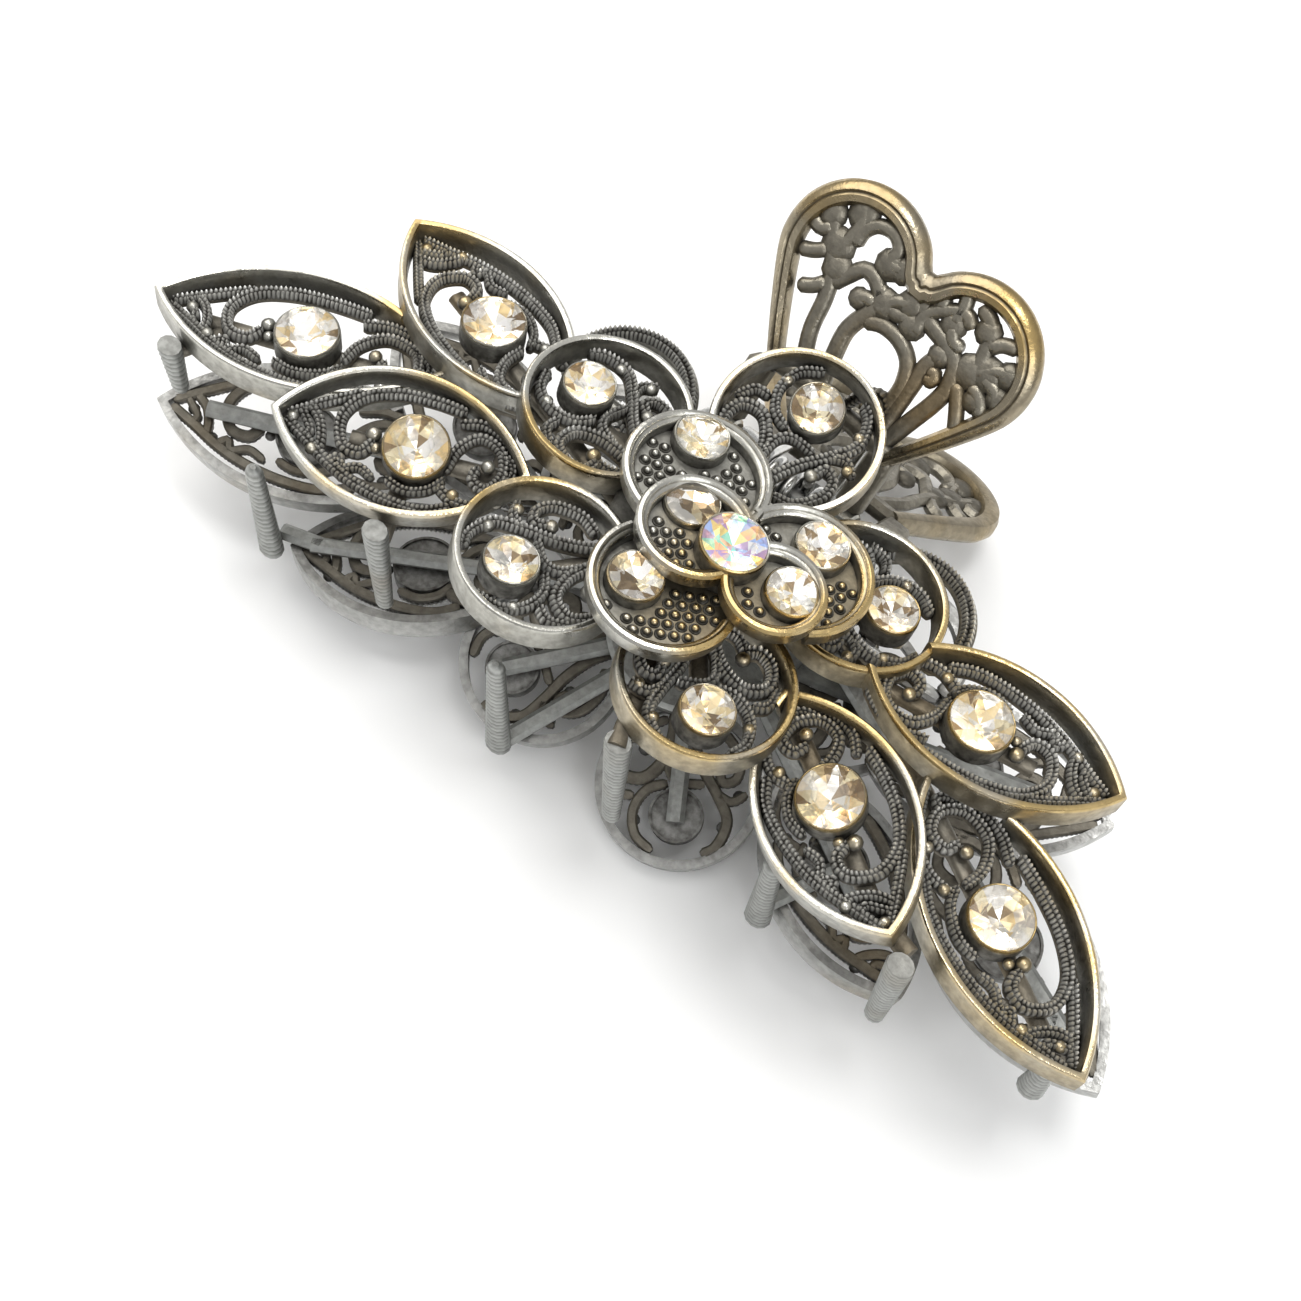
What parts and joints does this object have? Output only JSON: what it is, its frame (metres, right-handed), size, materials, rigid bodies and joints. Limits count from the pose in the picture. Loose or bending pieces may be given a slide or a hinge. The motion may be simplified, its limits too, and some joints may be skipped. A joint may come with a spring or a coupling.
{
  "type": "hair claw clip",
  "caption": "Sprung metal hair claw: two filigree jaws on a hinge pin, a jewelled rose flower between leaf sprays, heart shaped thumb handles.",
  "frame": {"origin": "on the hinge pin's axis, midway between the outer lugs", "axes": "+X along the hinge pin to the right as the flower faces the viewer, +Y from the teeth side to the thumb handles, +Z out of the front jaw; the closed clip lies on its back with its lowest points level"},
  "size_m": [0.0906, 0.0487, 0.0331],
  "materials": {
    "antique_silver": "antique silver plating on zinc castings, dark in the recesses and polished on the rims",
    "matte_silver": "matte antique silver plating on the plain inner ribs, lugs and teeth",
    "spring_steel": "plain bright steel wire",
    "crystal": "faceted, foil backed, clear with a faint champagne tint",
    "crystal_ab": "faceted, foil backed, with a rainbow coating"
  },
  "bodies": {
    "rear_jaw": {"rear_frame": "matte_silver", "rear_handle": "antique_silver", "rear_flower": "antique_silver", "rear_hinge_petal": "antique_silver", "hinge_pin": "spring_steel", "torsion_spring": "spring_steel", "rear_leaf_left_end": "antique_silver", "rear_leaf_left_upper": "antique_silver", "rear_leaf_left_lower": "antique_silver", "rear_leaf_right_end": "antique_silver", "rear_leaf_right_upper": "antique_silver", "rear_leaf_right_lower": "antique_silver"},
    "front_jaw": {"front_frame": "matte_silver", "front_handle": "antique_silver", "outer_flower": "antique_silver", "hinge_petal": "antique_silver", "rose_lower": "antique_silver", "rose_upper": "antique_silver", "rose_rivet": "spring_steel", "leaf_left_end": "antique_silver", "leaf_left_upper": "antique_silver", "leaf_left_lower": "antique_silver", "leaf_right_end": "antique_silver", "leaf_right_upper": "antique_silver", "leaf_right_lower": "antique_silver", "stone_leaf_left_end": "crystal", "stone_leaf_left_upper": "crystal", "stone_leaf_left_lower": "crystal", "stone_leaf_right_end": "crystal", "stone_leaf_right_upper": "crystal", "stone_leaf_right_lower": "crystal", "stone_petal_1": "crystal", "stone_petal_2": "crystal", "stone_petal_3": "crystal", "stone_petal_4": "crystal", "stone_petal_5": "crystal", "stone_rose_1": "crystal", "stone_rose_2": "crystal", "stone_rose_3": "crystal", "stone_rose_4": "crystal", "stone_rose_5": "crystal", "stone_centre": "crystal_ab", "spring_front_leg": "spring_steel"}
  },
  "joints": [
    {"name": "jaw_hinge", "type": "hinge", "parent": "rear_jaw", "child": "front_jaw", "pos_m": [0, 0, 0], "axis": [-1, 0, 0], "range_deg": [0, 55], "stiffness_Nm_per_rad": 0.04, "springref_deg": -45.84}
  ]
}
